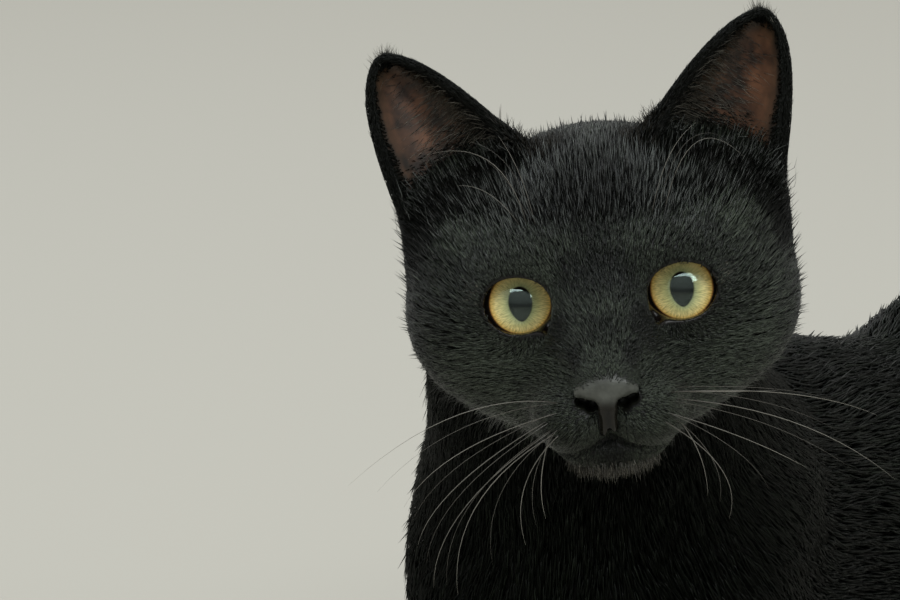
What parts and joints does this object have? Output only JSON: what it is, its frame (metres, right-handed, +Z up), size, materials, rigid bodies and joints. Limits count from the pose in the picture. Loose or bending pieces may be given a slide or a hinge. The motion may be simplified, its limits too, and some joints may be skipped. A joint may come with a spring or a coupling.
{
  "type": "black domestic shorthair cat",
  "caption": "Life-size still model of a young black short-haired cat lying on its chest, head raised and turned to its left, tail laid along its side.",
  "frame": {"origin": "on the floor, under the middle of the whole model's box", "axes": "+Z up, -Y the way the body faces, so that +X is the cat's left side"},
  "size_m": [0.1894, 0.453, 0.2545],
  "materials": {
    "coat": "short, close, glossy black fur, lying flat from the nose to the tail",
    "eye": "wet and clear over a gold iris that turns green towards a black upright pupil",
    "nose": "bare, finely pebbled, slightly moist black skin",
    "whisker": "stiff white to grey hairs, smooth and tapering"
  },
  "bodies": {
    "root": {"head": "coat", "neck": "coat", "trunk": "coat", "ear_left": "coat", "ear_right": "coat", "eye_left": "eye", "eye_right": "eye", "foreleg_left": "coat", "foreleg_right": "coat", "forepaw_left": "coat", "forepaw_right": "coat", "hindleg_left": "coat", "hindleg_right": "coat", "hindfoot_left": "coat", "hindfoot_right": "coat", "tail_root": "coat", "tail_middle": "coat", "tail_tip": "coat"}
  },
  "joints": []
}
